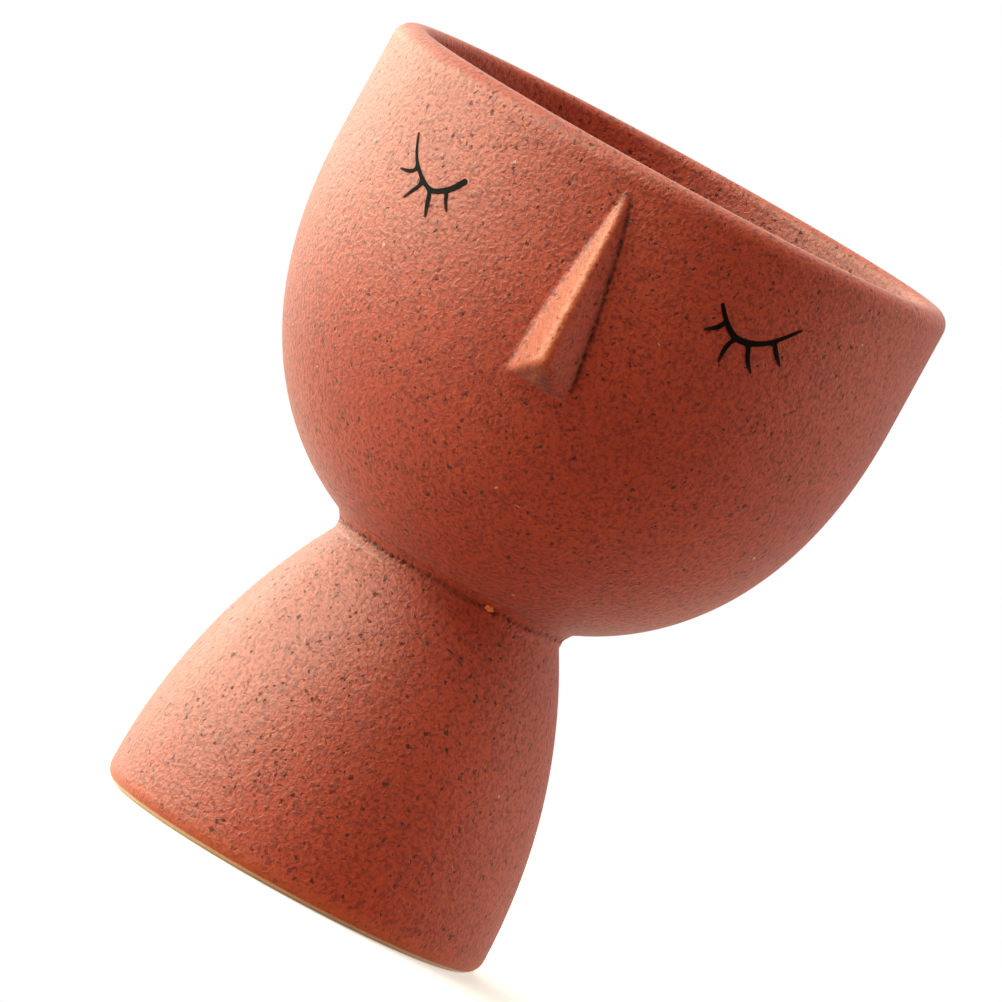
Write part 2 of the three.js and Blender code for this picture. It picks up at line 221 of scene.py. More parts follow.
def falloff(distance, breadth):
    """A share that is full at no distance and fades on both sides."""
    return math.exp(-(distance / breadth) ** 2)


def between(a, b, share):
    """A point on the line from a to b."""
    return tuple(p + (q - p) * share for p, q in zip(a, b))


def bezier(points, steps):
    """Points along the curve between the outer points that leans towards the inner ones."""
    curve = []
    for i in range(steps + 1):
        row = points
        while len(row) > 1:
            row = [between(p, q, i / steps) for p, q in zip(row, row[1:])]
        curve.append(row[0])
    return curve


# The bowl's wall


def belly_depth(sizes):
    """Depth of the whole belly curve, which runs on below the trimmed flat."""
    bend = sizes.belly_roundness
    return sizes.belly_height / (1 - (sizes.base_radius / sizes.bowl_radius) ** bend) ** (1 / bend)


def wall_radius(sizes, height):
    """Outside radius of the bowl at a height above its flat underside."""
    share = clamp((sizes.belly_height - height) / belly_depth(sizes))
    return sizes.bowl_radius * (1 - share ** sizes.belly_roundness) ** (1 / sizes.belly_roundness)


def belly(sizes, inset, low, steps):
    """Points of the belly moved in along its normals, from the upright wall down to a height."""
    depth = belly_depth(sizes)
    power = 2 / sizes.belly_roundness
    points = []
    for i in range(steps + 1):
        turn = math.pi / 2 * i / steps
        across, down = math.cos(turn), math.sin(turn)
        normal = Vector((across ** (2 - power) / sizes.bowl_radius, -(down ** (2 - power)) / depth))
        point = Vector((sizes.bowl_radius * across ** power, sizes.belly_height - depth * down ** power))
        point -= normal.normalized() * inset
        if point.y < low:
            points.append(between(points[-1], point, (points[-1][1] - low) / (points[-1][1] - point.y)))
            break
        points.append((point.x, point.y))
    return points


def raised(points, height):
    """The same radius and height points, higher up."""
    return [(r, z + height) for r, z in points]


def lay_round(piece, around, radius_at, lift):
    """Wraps a flat piece round the pot: x becomes the way round and -y the distance off the wall."""
    for vertex in piece.data.vertices:
        x, y, z = vertex.co
        vertex.co = beside(x / around, radius_at(z) - y, z + lift)
    piece.data.update()


def lay_on_bowl(piece, sizes):
    """Wraps a flat piece round the bowl, with its heights taken from the bowl's flat underside."""
    lay_round(piece, sizes.bowl_radius, lambda z: wall_radius(sizes, z), BOWL_BASE)


def select_only(*pieces):
    """Selects these objects and makes the last one active."""
    bpy.ops.object.select_all(action="DESELECT")
    for piece in pieces:
        piece.select_set(True)
    bpy.context.view_layer.objects.active = pieces[-1]


def finish_modifiers(piece):
    """Applies a piece's modifiers."""
    select_only(piece)
    for modifier in list(piece.modifiers):
        bpy.ops.object.modifier_apply(modifier=modifier.name)


def hand_over(piece, body, nodes, material):
    """Gives a finished piece its material, its body and the CAD nodes that it stands for."""
    piece.data.materials.append(material)
    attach(piece, body)
    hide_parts(*nodes)


# Materials


def add(tree, kind, inputs, **settings):
    """Adds a shader node, makes its settings, and fills or links its inputs."""
    made = tree.nodes.new("ShaderNode" + kind)
    for setting, value in settings.items():
        setattr(made, setting, value)
    for socket, value in inputs.items():
        if isinstance(value, bpy.types.NodeSocket):
            tree.links.new(value, made.inputs[socket])
        else:
            made.inputs[socket].default_value = value
    return made


def new_material(name):
    """A material and, where it is new, its empty tree and the place that patterns use."""
    material = bpy.data.materials.get(name)
    if material:
        return material, None, None
    material = bpy.data.materials.new(name)
    material.use_nodes = True
    tree = material.node_tree
    tree.nodes.clear()
    return material, tree, add(tree, "TexCoord", {}).outputs["Object"]


def rgba(values):
    """A colour property as a shader colour."""
    return (*values, 1.0)


EASED = "SMOOTHSTEP"
WHITE = (1, 1, 1, 1)

# Real sizes in the clay. Its grain is finer than this, and is drawn as coarse as it needs to be to show.
FIRING_DRIFT = 24 * MM
SPONGE_SWELL = 3.5 * MM
LEATHER_GRAIN = 0.85 * MM
LEATHER_DEPTH = 0.22 * MM
GRIT_RAGGED = 0.8 * MM
GRIT_SHIFT = 1.4 * MM
GRAIN_HALO = 0.04 * MM
GRAIN_EDGE = 0.12 * MM
SHADE_PATCH = 0.9 * MM

# Sponged clay has a close, dry skin: a broad dull gloss, which turns milky where the light grazes it.
DRY_CLAY = {"IOR": 1.55, "Specular IOR Level": 0.2, "Sheen Weight": 0.2, "Sheen Roughness": 0.5}
PITTED = rgba(linear("959595"))  # tint of the gloss on burnt grit, which is too rough to shine, and on the painted shade
SILICONE_BLOOM = rgba(linear("61615F"))  # dust that silicone draws to its skin


def blend(tree, share, below, above):
    """One colour over another."""
    return add(tree, "Mix", {0: share, 6: below, 7: above}, data_type="RGBA").outputs[2]


def calc(tree, operation, *values):
    """The result of one sum on values or sockets."""
    return add(tree, "Math", dict(enumerate(values)), operation=operation).outputs[0]


def cloud(tree, where, size, detail=2.0, distortion=0.0):
    """Soft noise whose patches have a real size."""
    made = add(tree, "TexNoise", {"Vector": where, "Scale": 1 / size, "Detail": detail, "Distortion": distortion})
    return made.outputs["Fac"]


def ramp(tree, value, low, high, start=0.0, end=1.0, ease="LINEAR"):
    """A value that runs from start to end while another runs from low to high."""
    limits = {"Value": value, "From Min": low, "From Max": high, "To Min": start, "To Max": end}
    return add(tree, "MapRange", limits, interpolation_type=ease).outputs["Result"]


def grit(tree, where, spacing, size, share):
    """A mask of round grains cut by the surface: their spacing, their largest radius, and the share left out."""
    cells = add(tree, "TexVoronoi", {"Vector": where, "Scale": 1 / spacing})
    chance = add(tree, "SeparateColor", {"Color": cells.outputs["Color"]}).outputs["Red"]
    radius = ramp(tree, chance, share, 1.0, 0.0, size / spacing)
    inside = calc(tree, "SUBTRACT", radius, cells.outputs["Distance"])
    return ramp(tree, inside, -GRAIN_HALO / spacing, GRAIN_EDGE / spacing, ease=EASED)


def clay_body(tree, where, colours, body, deep, grain_share):
    """Colour, height and surface sockets of a fired speckled body, all in real sizes."""
    drift = ramp(tree, cloud(tree, where, FIRING_DRIFT, 1.0), 0.35, 0.65)
    grain = cloud(tree, where, LEATHER_GRAIN, distortion=0.5)
    ragged = add(tree, "TexNoise", {"Vector": where, "Scale": 1 / GRIT_RAGGED, "Detail": 2.0}).outputs["Color"]
    shift = {0: ragged, 1: (GRIT_SHIFT,) * 3, 2: where}
    ragged = add(tree, "VectorMath", shift, operation="MULTIPLY_ADD").outputs[0]
    pepper = grit(tree, ragged, spacing=1.0 * MM, size=0.4 * MM, share=0.1)
    iron = grit(tree, ragged, spacing=1.5 * MM, size=0.5 * MM, share=0.4)
    grog = grit(tree, ragged, spacing=5 * MM, size=0.35 * MM, share=0.4)
    tone = blend(tree, drift, rgba(body), rgba(deep))
    for mask, strength, layer in (
        (ramp(tree, grain, 0.48, 0.64, ease=EASED), grain_share, colours.grain),
        (ramp(tree, grain, 0.45, 0.3, ease=EASED), 0.4, colours.glint),
        (pepper, 0.45, colours.pepper),
        (iron, 0.7, colours.speck),
        (grog, 0.6, colours.grog),
    ):
        tone = blend(tree, calc(tree, "MULTIPLY", mask, strength), tone, rgba(layer))
    height = calc(tree, "MULTIPLY_ADD", cloud(tree, where, SPONGE_SWELL, 1.0), 0.6, grain)
    height = calc(tree, "MULTIPLY_ADD", iron, -0.6, height)
    # Painted highlight on the nose's lit flank and ridge.
    rubbed = add(tree, "Attribute", {}, attribute_name="rubbed").outputs["Fac"]
    tone = blend(tree, rubbed, tone, rgba(colours.rubbed))
    # Painted shade in the creases and under the nose, broken into patches, which also dulls the gloss there.
    patchy = ramp(tree, cloud(tree, where, SHADE_PATCH), 0.35, 0.6, 0.45)
    crease = add(tree, "Attribute", {}, attribute_name="crease").outputs["Fac"]
    painted_shade = calc(tree, "MULTIPLY", crease, patchy)
    tone = blend(tree, calc(tree, "MULTIPLY", painted_shade, 0.95), tone, rgba(colours.painted_shade))
    dull = calc(tree, "MAXIMUM", calc(tree, "MAXIMUM", iron, pepper), painted_shade)
    surface = {
        "Roughness": ramp(tree, grain, 0, 1, 0.5, 0.66),
        "Specular Tint": blend(tree, dull, WHITE, PITTED),
        **DRY_CLAY,
    }
    return tone, height, surface


def close_material(tree, tone, height, depth, surface):
    """Ends a material in one surface shader with a bump of a real depth."""
    bump = add(tree, "Bump", {"Strength": 1.0, "Distance": depth, "Height": height}).outputs["Normal"]
    shader = add(tree, "BsdfPrincipled", {"Base Color": tone, "Normal": bump, **surface})
    add(tree, "OutputMaterial", {"Surface": shader.outputs[0]})


def speckled_stoneware(colours):
    """Unglazed iron-bearing stoneware, turned and sponged: matte, with a leathery grain and burnt iron specks."""
    material, tree, where = new_material("speckled_terracotta_stoneware_sponged")
    if tree:
        tone, height, surface = clay_body(tree, where, colours, colours.clay, colours.clay_deep, 0.75)
        # Painted light thrown up by the floor: paler towards the foot, and a pale line along its lowest edge.
        level = add(tree, "SeparateXYZ", {"Vector": where}).outputs["Z"]
        sponged = ramp(tree, level, 5 * MM, MM, end=0.4, ease=EASED)
        tone = blend(tree, sponged, tone, rgba(colours.rubbed))
        wiped = ramp(tree, level, 1.15 * MM, 0.75 * MM, ease=EASED)
        tone = blend(tree, wiped, tone, rgba(colours.foot))
        close_material(tree, tone, height, LEATHER_DEPTH, surface)
    return material


def luting_slip(colours):
    """Slip clay wiped into the seam with a finger: the same body, painted darker as shade under the belly, with
    fewer dark marks.
    """
    material, tree, where = new_material("luting_slip_wiped")
    if tree:
        tone, height, surface = clay_body(tree, where, colours, colours.slip, colours.clay_deep, 0.6)
        close_material(tree, tone, height, LEATHER_DEPTH, surface)
    return material


def dry_crumb(colours):
    """A crumb of the same clay that dried on the seam and fired a clear orange."""
    material, tree, where = new_material("dry_clay_crumb_fired")
    if tree:
        tone, height, surface = clay_body(tree, where, colours, colours.crumb, colours.crumb, 0.15)
        close_material(tree, tone, height, 0.05 * MM, surface)
    return material


def burnt_iron(colours):
    """A coarse grain of iron that melted and burnt out in the firing: near-black brown, faintly glassy."""
    material, tree, where = new_material("iron_burn_out_fired")
    if tree:
        crust = cloud(tree, where, 0.3 * MM)
        tone = blend(tree, crust, rgba(colours.speck), rgba(colours.pepper))
        surface = {"Roughness": ramp(tree, crust, 0, 1, 0.45, 0.8), "IOR": 1.6, "Specular IOR Level": 0.2}
        close_material(tree, tone, crust, 0.05 * MM, surface)
    return material


def brushed_black(colours):
    """Iron and manganese black put on with a pointed brush and fired: black, browner where the brush ran dry."""
    material, tree, where = new_material("fired_black_brushed")
    if tree:
        dry = cloud(tree, where, 0.6 * MM)
        tone = blend(tree, ramp(tree, dry, 0.5, 0.75), rgba(colours.brush), rgba(colours.brush_thin))
        tip = add(tree, "Attribute", {}, attribute_name="tip").outputs["Fac"]
        tone = blend(tree, calc(tree, "MULTIPLY", tip, 0.6), tone, rgba(colours.brush_tip))
        surface = {"Roughness": ramp(tree, dry, 0, 1, 0.6, 0.85), "IOR": 1.5, "Specular IOR Level": 0.03}
        close_material(tree, tone, dry, 0.03 * MM, surface)
    return material


def moulded_silicone(colours):
    """Silicone rubber pressed in a fine-blasted mould: dark, soft-looking and dull, with a faint even grain."""
    material, tree, where = new_material("silicone_moulded")
    if tree:
        blast = cloud(tree, where, 0.35 * MM, 1.0)
        bloom = cloud(tree, where, 4 * MM)
        tone = blend(tree, ramp(tree, bloom, 0, 1, end=0.25), rgba(colours.silicone), SILICONE_BLOOM)
        surface = {"Roughness": ramp(tree, bloom, 0, 1, 0.5, 0.7), "IOR": 1.43, "Specular IOR Level": 0.12}
        close_material(tree, tone, blast, 0.02 * MM, surface)
    return material


# Pieces


class PLANTER_OT_bowl(Operator):
    """Turn the bowl: trimmed flat, round belly, upright wall, rounded lip and the drain hole in its floor"""
    bl_idname = "planter.bowl"
    bl_label = "Bowl"

    def execute(self, context):
        sizes = context.scene.planter_sizes
        inner = sizes.bowl_radius - sizes.wall
        lip_out = (sizes.bowl_radius - sizes.lip_outer_round, sizes.bowl_height - sizes.lip_outer_round)
        lip_in = (inner + sizes.lip_inner_round, sizes.bowl_height - sizes.lip_inner_round)
        edge = 0.6 * MM
        corner_rise, corner_run = 2.5 * MM, 5 * MM
        hole = sizes.drain_radius
        outside = belly(sizes, 0, 0, 60)
        inside = belly(sizes, sizes.wall, sizes.floor, 48)
        side = [point for point in inside if point[1] > sizes.floor + corner_rise]
        corner = bezier([side[-1], inside[-1], (inside[-1][0] - corner_run, sizes.floor)], 10)
        profile = [
            *arc((hole + edge, edge), edge, 180, 270, 4),
            *reversed(outside),
            *arc(lip_out, sizes.lip_outer_round, 0, 90, 10),
            *arc(lip_in, sizes.lip_inner_round, 90, 180, 8),
            *side[:-1],
            *corner,
            *arc((hole + edge, sizes.floor - edge), edge, 90, 180, 4),
        ]
        profile.append(profile[0])
        piece = turned("head_bowl_turned", raised(profile, BOWL_BASE), sizes.turns)
        hand_over(piece, "planter", ["head_bowl"], speckled_stoneware(context.scene.planter_colours))
        return {"FINISHED"}


def pedestal_arc(sizes):
    """Centre and radius of the arc of the pedestal's side, upright where the foot's rounding starts."""
    flare = sizes.foot_radius - sizes.pedestal_top
    rise = sizes.pedestal_height - sizes.foot_round
    radius = (flare ** 2 + rise ** 2) / (2 * flare)
    return (sizes.foot_radius - radius, sizes.foot_round), radius


def pedestal_side(sizes, inset, steps):
    """Points of the pedestal's side from the foot up, moved in by the inset."""
    centre, radius = pedestal_arc(sizes)
    end = math.degrees(math.asin((sizes.pedestal_height - sizes.foot_round) / (radius - inset)))
    return arc(centre, radius - inset, 0, end, steps)


def pedestal_radius(sizes, height):
    """Outside radius of the pedestal at a height above the foot."""
    (across, up), radius = pedestal_arc(sizes)
    return across + math.sqrt(radius ** 2 - (height - up) ** 2)


def grain_of_clay(size, seed):
    """A rough grain with the given size across, in depth and up, drawn at the origin."""
    bpy.ops.mesh.primitive_ico_sphere_add(subdivisions=4, radius=0.5)
    grain = bpy.context.object
    depth, bumps = 0.4, 2.7  # how rough a grain is, and how many bumps cross it
    for vertex in grain.data.vertices:
        bumpy = 1 + depth * noise.noise(vertex.co * bumps + Vector((seed, 0, 0)))
        vertex.co = [bumpy * c * s for c, s in zip(vertex.co, size)]
    bpy.ops.object.shade_smooth()
    return grain


def stick_on(piece, grains, material):
    """Joins grains of their own material to a piece that has its material already."""
    for grain in grains:
        grain.data.materials.append(material)
    select_only(*grains, piece)
    bpy.ops.object.join()


# Iron grit that burnt out on the pedestal: degrees to the right of the face, and in millimetres the height
# above the foot, the length, the width and how far the right end hangs below the left.
BURN_OUTS = (
    (9.5, 52.5, 0.9, 0.65, 0.2),
    (11.7, 54.8, 0.6, 0.5, 0),
    (18.4, 53.2, 1.6, 0.35, 0.3),
    (23.4, 52.3, 1.7, 0.3, 0.5),
)
BURN_OUT_SKIN = 0.1 * MM


class PLANTER_OT_pedestal(Operator):
    """Turn the hollow bell-shaped pedestal with its rounded foot"""
    bl_idname = "planter.pedestal"
    bl_label = "Pedestal"

    def execute(self, context):
        sizes = context.scene.planter_sizes
        foot = (sizes.foot_radius - sizes.foot_round, sizes.foot_round)
        heel_round = 0.8 * MM
        heel = (sizes.foot_radius - sizes.pedestal_wall + heel_round, heel_round)
        profile = [
            *arc(foot, sizes.foot_round, -90, 0, 10),
            *pedestal_side(sizes, 0, 40)[1:],
            *reversed(pedestal_side(sizes, sizes.pedestal_wall, 40)),
            *arc(heel, heel_round, 180, 270, 5),
        ]
        profile.append(profile[0])
        piece = turned("pedestal_base_turned", profile, sizes.turns)
        colours = context.scene.planter_colours
        hand_over(piece, "planter", ["pedestal_base"], speckled_stoneware(colours))
        marks = []
        for seed, (turn, height, long, wide, drop) in enumerate(BURN_OUTS):
            mark = grain_of_clay((long * MM, BURN_OUT_SKIN, wide * MM), seed)
            around = pedestal_radius(sizes, height * MM)
            for vertex in mark.data.vertices:
                vertex.co.z += height * MM - vertex.co.x * drop / long
                vertex.co.x += math.radians(turn) * around
            lay_round(mark, around, lambda z: pedestal_radius(sizes, z), 0)
            marks.append(mark)
        stick_on(piece, marks, burnt_iron(colours))
        return {"FINISHED"}


class PLANTER_OT_neck(Operator):
    """Wipe the band of slip into the neck, with pits along the seam and a crumb of dry clay left on it"""
    bl_idname = "planter.neck"
    bl_label = "Neck slip"

    def execute(self, context):
        sizes = context.scene.planter_sizes
        colours = context.scene.planter_colours
        step, climb = 0.1 * MM, 14  # the slip ends this many steps up the bowl
        film, pull = 0.04 * MM, 0.95 * MM
        side = pedestal_side(sizes, 0, 120)
        outside = raised([(wall_radius(sizes, i * step), i * step) for i in range(climb + 2)], BOWL_BASE)
        low, high = (side[-2][0] + film, side[-2][1]), (outside[climb][0] + film, outside[climb][1] - film)
        lead = (Vector(side[-1]) - Vector(side[-3])).normalized() * pull
        trail = (Vector(outside[climb + 1]) - Vector(outside[climb - 1])).normalized() * pull
        bead = bezier([low, Vector(low) + lead, Vector(high) - trail, high], 22)
        inner = pedestal_side(sizes, sizes.pedestal_wall, 8)[-1][0]
        buried = 1.2 * MM
        heel = [(inner + buried, BOWL_BASE), (inner, BOWL_BASE - buried), (inner + buried, sizes.pedestal_height)]
        profile = [
            *bead,
            (high[0] - buried, high[1] + buried),
            (sizes.base_radius - buried, BOWL_BASE + buried),
            *bezier(heel, 6),
            (low[0] - buried, sizes.pedestal_height - buried),
            bead[0],
        ]
        piece = turned("neck_slip_wiped", profile, sizes.turns * 4)
        waist = len(bead) // 2
        sway, sway_length = 0.35 * MM, 9 * MM
        seam_breadth, seam_depth, seam_shade = 0.6 * MM, 0.15 * MM, 0.55
        pit_width, pit_height, pit_depth, pit_share = 0.8 * MM, 0.7 * MM, 1.3 * MM, 0.1
        crease = piece.data.attributes.new("crease", "FLOAT", "POINT")
        for vertex in piece.data.vertices:
            x, y, z = vertex.co
            out = Vector((x, y - AXIS_Y, 0))
            seam = bead[waist][1] + sway * noise.noise((x / sway_length, y / sway_length, 3))
            near = falloff(z - seam, seam_breadth)
            rough = noise.noise((x / pit_width, y / pit_width, z / pit_height))
            if out.length > sizes.base_radius and low[1] < z < high[1]:
                vertex.co -= out.normalized() * near * (seam_depth + pit_depth * max(0, rough - pit_share))
                # Painted shade along the seam, under the overhang of the belly.
                crease.data[vertex.index].value = seam_shade * near
        hand_over(piece, "planter", ["neck_slip_ring"], luting_slip(colours))
        crumb = grain_of_clay((1.7 * MM, 1.2 * MM, 1.1 * MM), 7)
        crumb_turn, crumb_stand = math.radians(27), 0.2 * MM
        away, height = bead[waist + 1]
        for vertex in crumb.data.vertices:
            vertex.co += beside(crumb_turn, away + crumb_stand, height)
        stick_on(piece, [crumb], dry_crumb(colours))
        return {"FINISHED"}


def lower(a, b, soft):
    """The lower of two heights, rounded over where they meet."""
    share = clamp(0.5 + 0.5 * (b - a) / soft)
    return b + (a - b) * share - soft * share * (1 - share)


# The nose beyond the sizes in the panel. A bulge under 1 curves outwards; the top values are its place right of
# the face's middle, its least half width, its height, and its fall above.
FLANK_BULGE, RIDGE_BULGE = 0.62, 0.85
LEFT_STEEPER = 1.12
TOP_RIGHT, TOP_HALF, TOP_RISE, TOP_FALL = 0.6 * MM, 0.35 * MM, 0.2 * MM, 6 * MM
LEFT_TUCK = 0.9 * MM
RIDGE_SOFT, RIDGE_SOFTER, TIP_SOFT = 1.4 * MM, 4.2 * MM, 2.2 * MM
RIGHT_FILLET, LEFT_FILLET = 0.3 * MM, 1.1 * MM
BEAD_PLACE, BEAD_BREADTH, BEAD_HEIGHT = 0.85 * MM, 0.5 * MM, 0.24 * MM
CREASE_PLACE, CREASE_BREADTH, CREASE_VARIES = 0.1 * MM, 0.55 * MM, 0.3 * MM
UNDER_SHADE = 0.6
HIGHLIGHT_PLACE, HIGHLIGHT_BREADTH, HIGHLIGHT_SHARE = -1.5 * MM, 3 * MM, 0.35
SHEET_SINK = 0.06 * MM


def waver(seed, z, wave):
    """Noise along the height, with a wave of a real length."""
    return noise.noise((seed, 0, z / wave))


def nose_height(sizes, x, z):
    """How far the nose stands off the wall, and its shares of painted shade and of painted highlight."""
    top = sizes.bowl_height - sizes.nose_top
    foot = top - sizes.nose_length
    share = max((top - z) / sizes.nose_length, 0)
    # The two edges on the wall: the nose widens and leans downwards, and its right edge wavers.
    wobble = 0.22 * MM * waver(0, z, 3 * MM) + 0.1 * MM * waver(5, z, 0.9 * MM)
    middle = TOP_RIGHT + sizes.nose_lean * share
    half = max(sizes.nose_width / 2 * share ** FLANK_BULGE, TOP_HALF)
    left_edge = x - middle + half - min(LEFT_TUCK, half / 3)
    right_edge = x - middle - half - wobble
    # Two flanks and the underside, rounded where they meet, and filleted into the wall, most on the left.
    ridge = (top - z) / (sizes.nose_length - sizes.nose_tip_rise)
    reach = sizes.nose_reach * max(ridge, 0) ** RIDGE_BULGE + min(ridge, 0) * TOP_FALL + TOP_RISE
    left = LEFT_STEEPER * reach * left_edge / half
    right = -reach * right_edge / half
    under = sizes.nose_reach * (z - foot) / sizes.nose_tip_rise
    wedge = lower(lower(left, right, RIDGE_SOFT + RIDGE_SOFTER * share), under, TIP_SOFT)
    on_left = clamp(0.5 + 0.5 * (middle - x) / half)
    height = -lower(-wedge, 0, RIGHT_FILLET + LEFT_FILLET * on_left * min(1, 0.2 + share))
    # A bead of clay pushed up along the right edge, and the painted shade in its crease and on the underside.
    begun = clamp(8 * share)
    within = begun * clamp((z - foot - 1.5 * MM) / (2 * MM))
    bead = within * falloff(right_edge - BEAD_PLACE, BEAD_BREADTH)
    bead *= BEAD_HEIGHT * (0.7 + 0.6 * waver(9, z, 1.4 * MM))
    breadth = CREASE_BREADTH + CREASE_VARIES * waver(3, z, 2.2 * MM)
    crease = within * falloff(right_edge - CREASE_PLACE, breadth)
    beneath = clamp((min(left, right) - under) / (2.5 * MM)) * clamp(wedge / (0.8 * MM))
    crease = max(crease, UNDER_SHADE * beneath)
    # Painted highlight on the lit left flank, most of it along the ridge.
    past_ridge = left - right - HIGHLIGHT_PLACE
    rubbed = HIGHLIGHT_SHARE * (1 + falloff(past_ridge, HIGHLIGHT_BREADTH))
    rubbed *= begun * clamp(wedge / MM) * falloff(max(0, past_ridge), HIGHLIGHT_BREADTH)
    sunk = clamp(-wedge / MM - 1.2)
    return height + bead - SHEET_SINK * sunk, crease, rubbed


class PLANTER_OT_nose(Operator):
    """Press the wedge nose on to the wall, smoothed into it on the left and left with a crease on the right"""
    bl_idname = "planter.nose"
    bl_label = "Nose"

    def execute(self, context):
        sizes = context.scene.planter_sizes
        above, below, shift = 2 * MM, 3 * MM, 2 * MM  # how far the sheet of clay runs past the nose
        top = sizes.bowl_height - sizes.nose_top + above
        across, down = 21 * MM, above + sizes.nose_length + below
        trim = 0.05 * MM
        bpy.ops.mesh.primitive_grid_add(x_subdivisions=100, y_subdivisions=260, size=1)
        piece = bpy.context.object
        piece.name = piece.data.name = "nose_pressed"
        bpy.ops.object.mode_set(mode="EDIT")
        bpy.ops.transform.rotate(value=math.pi / 2, orient_axis="X", center_override=(0, 0, 0))
        bpy.ops.transform.resize(value=(across, 1, down), center_override=(0, 0, 0))
        bpy.ops.transform.translate(value=(shift, 0, top - down / 2))
        bpy.ops.mesh.select_all(action="DESELECT")
        bpy.ops.mesh.select_mode(type="VERT")
        bpy.ops.object.mode_set(mode="OBJECT")
        layers = piece.data.attributes  # looked up by name, because a new layer moves the others
        layers.new("crease", "FLOAT", "POINT")
        layers.new("rubbed", "FLOAT", "POINT")
        for vertex in piece.data.vertices:
            height, crease, rubbed = nose_height(sizes, vertex.co.x, vertex.co.z)
            vertex.co.y = -height
            layers["crease"].data[vertex.index].value = crease
            layers["rubbed"].data[vertex.index].value = rubbed
            vertex.select = height < -trim
        bpy.ops.object.mode_set(mode="EDIT")
        bpy.ops.mesh.delete(type="VERT")
        bpy.ops.mesh.select_all(action="SELECT")
        bpy.ops.mesh.normals_make_consistent(inside=False)
        bpy.ops.object.mode_set(mode="OBJECT")
        lay_on_bowl(piece, sizes)
        bpy.ops.object.shade_smooth()
        hand_over(piece, "planter", ["nose"], speckled_stoneware(context.scene.planter_colours))
        return {"FINISHED"}


# Strokes as seen from the front, in millimetres around the lowest point of each lid line: points along the
# middle of the stroke, and its width at the start, middle and end. Outer is the outer end of the lid line.
LEFT_EYE = {
    "node": "left_eye_line", "azimuth": -34.7, "drop": 23.1, "outer": 0,
    "lid": (((-9.5, 7.8), (-6, 3.1), (0, 0), (4.2, 1.75), (6.8, 4.9)), (0.35, 0.75, 1.0)),
    "lashes": (
        (((-4.7, 2), (-6.6, 0.85), (-9.2, 0.45)), (0.6, 0.6, 0.35)),
        (((-1.9, 0.4), (-3.2, -1.6), (-4.7, -3.85)), (0.65, 0.6, 0.35)),
        (((0.5, 0), (1.3, -2.4), (2.4, -4.9)), (0.75, 0.75, 0.4)),
        (((3.8, 1.5), (4.7, -0.2), (6.1, -2)), (0.65, 0.6, 0.35)),
    ),
}
RIGHT_EYE = {
    "node": "right_eye_line", "azimuth": 31.9, "drop": 19.7, "outer": -1,
    "lid": (((-6.8, 4.6), (-3.7, 1.4), (-0.3, 0), (5, 1.75), (10.6, 6.9)), (0.6, 1.0, 0.45)),
    "lashes": (
        (((-4.4, 1.9), (-5.35, 0.3), (-7.55, -1.25)), (0.7, 0.75, 0.4)),
        (((-1.4, 0.1), (-2.1, -2.8), (-1.95, -5.4)), (0.8, 0.7, 0.35)),
        (((1.9, 0.3), (2.9, -2.3), (5.1, -4.55)), (0.7, 0.75, 0.35)),
        (((6.4, 2.8), (7.6, 1), (10, -1.05)), (0.7, 0.75, 0.35)),
    ),
}


HALF_STROKE = 0.6  # of a stroke's width, because the brush spreads a fifth wider than it is drawn
STROKE_END = 0.55  # width of a stroke's last pair of points against the rest
LID_STEPS, LASH_STEPS, LASH_START = 26, 8, 2  # a lash starts at the lid's edge, two steps from its middle
LASH_ROOT = 0.4 * MM
THIN_END = 2.2 * MM


def on_sheet(corner, point):
    """A point of an eye's drawing on the flat sheet that is laid on the wall later."""
    return Vector((corner[0] + point[0] * MM, 0, corner[1] + point[1] * MM))


def along(points, share):
    """A point on the smooth curve through the points, at a share of its way, and its direction there."""
    place = share * (len(points) - 1)
    i = min(int(place), len(points) - 2)
    t = place - i
    pick = [Vector(points[min(max(k, 0), len(points) - 1)]) for k in range(i - 1, i + 3)]
    lead, trail = (pick[2] - pick[0]) / 2, (pick[3] - pick[1]) / 2
    a = 2 * pick[1] - 2 * pick[2] + lead + trail
    b = 3 * pick[2] - 3 * pick[1] - 2 * lead - trail
    return ((a * t + b) * t + lead) * t + pick[1], ((3 * a * t + 2 * b) * t + lead).normalized()


def stroke_rows(stroke, steps, first):
    """Pairs of edge points along a brush stroke, with a narrow last pair."""
    points, widths = stroke
    rows = []
    for i in range(first, steps + 1):
        share = i / steps
        middle, direction = along(points, share)
        swell = along([(k, w) for k, w in enumerate(widths)], share)[0].y
        reach = swell * HALF_STROKE * (STROKE_END if i == steps else 1)
        side = Vector((-direction.y, direction.x)) * reach
        rows.append((middle + side, middle - side))
    return rows


def extrude_stroke(piece, rows, corner):
    """Extrudes the selected edge from row to row."""
    for left, right in rows:
        bpy.ops.mesh.extrude_edges_move()
        mesh = bmesh.from_edit_mesh(piece.data)
        ends = [v for v in mesh.verts if v.select]
        spots = [on_sheet(corner, left), on_sheet(corner, right)]
        way = [sum((end.co - spot).length for end, spot in zip(ends, pair)) for pair in (spots, spots[::-1])]
        for end, spot in zip(ends, spots if way[0] <= way[1] else spots[::-1]):
            end.co = spot
        bmesh.update_edit_mesh(piece.data)


